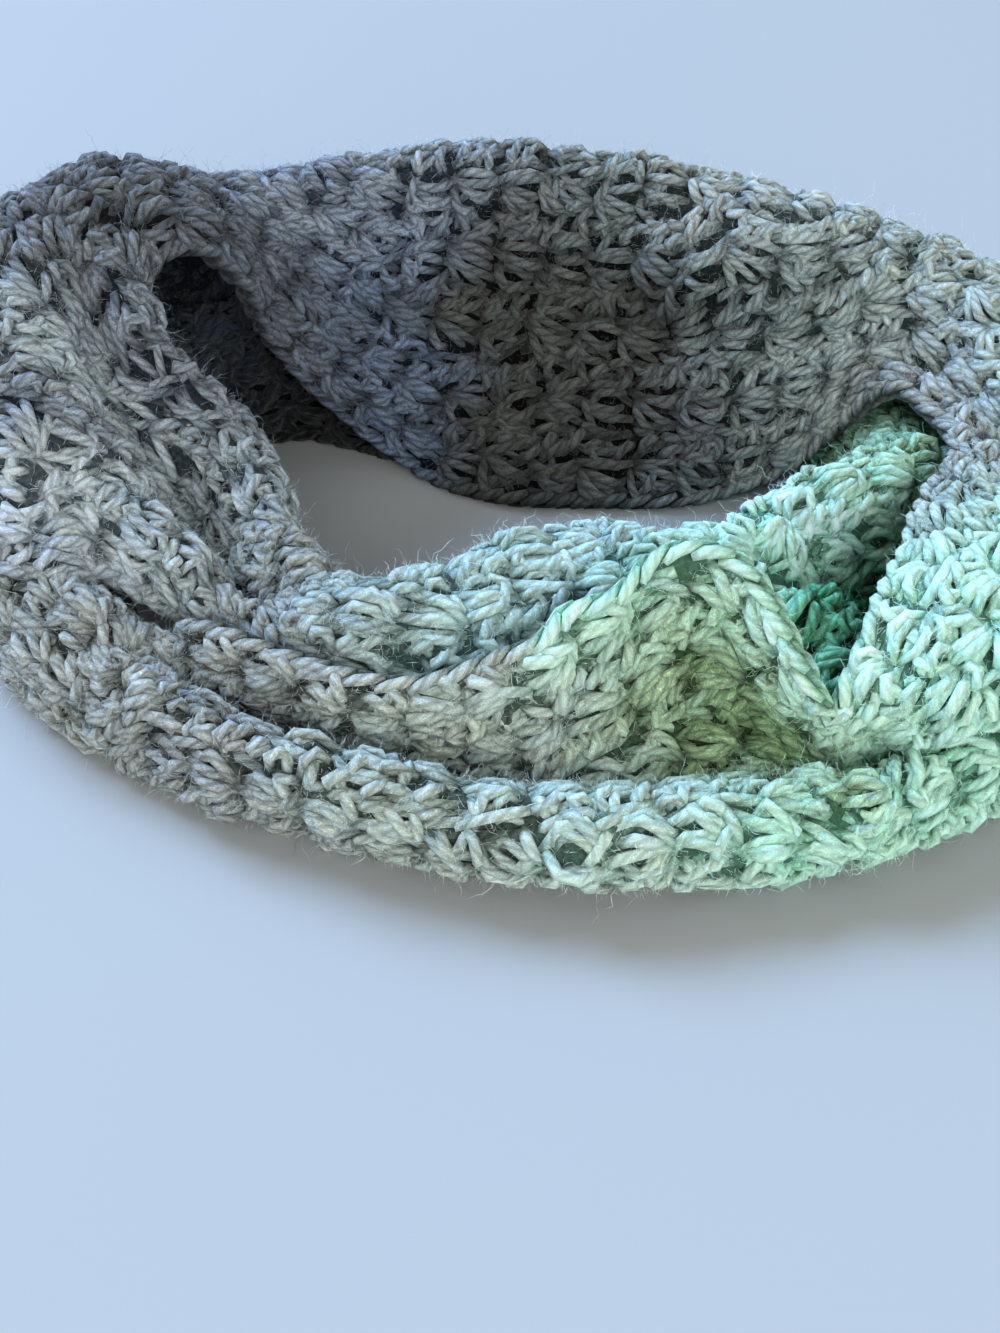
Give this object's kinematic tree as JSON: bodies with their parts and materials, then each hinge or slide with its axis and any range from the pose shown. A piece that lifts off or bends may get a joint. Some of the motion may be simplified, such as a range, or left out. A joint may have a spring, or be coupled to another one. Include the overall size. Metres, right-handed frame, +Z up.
{
  "type": "infinity scarf",
  "caption": "Crocheted infinity scarf in brushed wool, a closed band wound into a double loop and lying in a heap.",
  "frame": {"origin": "middle of the heap's footprint, on the surface that it lies on", "axes": "+Z up, -Y towards the side with the ruffled front roll, +X towards the right-hand turn"},
  "size_m": [0.3437, 0.2542, 0.0995],
  "materials": {
    "outer_front_wool": "matt",
    "right_turn_wool": "matt",
    "back_wall_wool": "matt",
    "left_roll_wool": "matt",
    "left_mass_wool": "matt",
    "inner_roll_wool": "matt",
    "mint_roll_wool": "matt",
    "back_layer_right_wool": "matt",
    "back_layer_left_wool": "matt",
    "outer_left_wool": "matt"
  },
  "bodies": {
    "root": {"outer_front": "outer_front_wool", "right_turn": "right_turn_wool", "back_wall": "back_wall_wool", "left_roll": "left_roll_wool", "left_mass": "left_mass_wool", "inner_roll": "inner_roll_wool", "mint_roll": "mint_roll_wool", "back_layer_right": "back_layer_right_wool", "back_layer_left": "back_layer_left_wool", "outer_left": "outer_left_wool"}
  },
  "joints": []
}
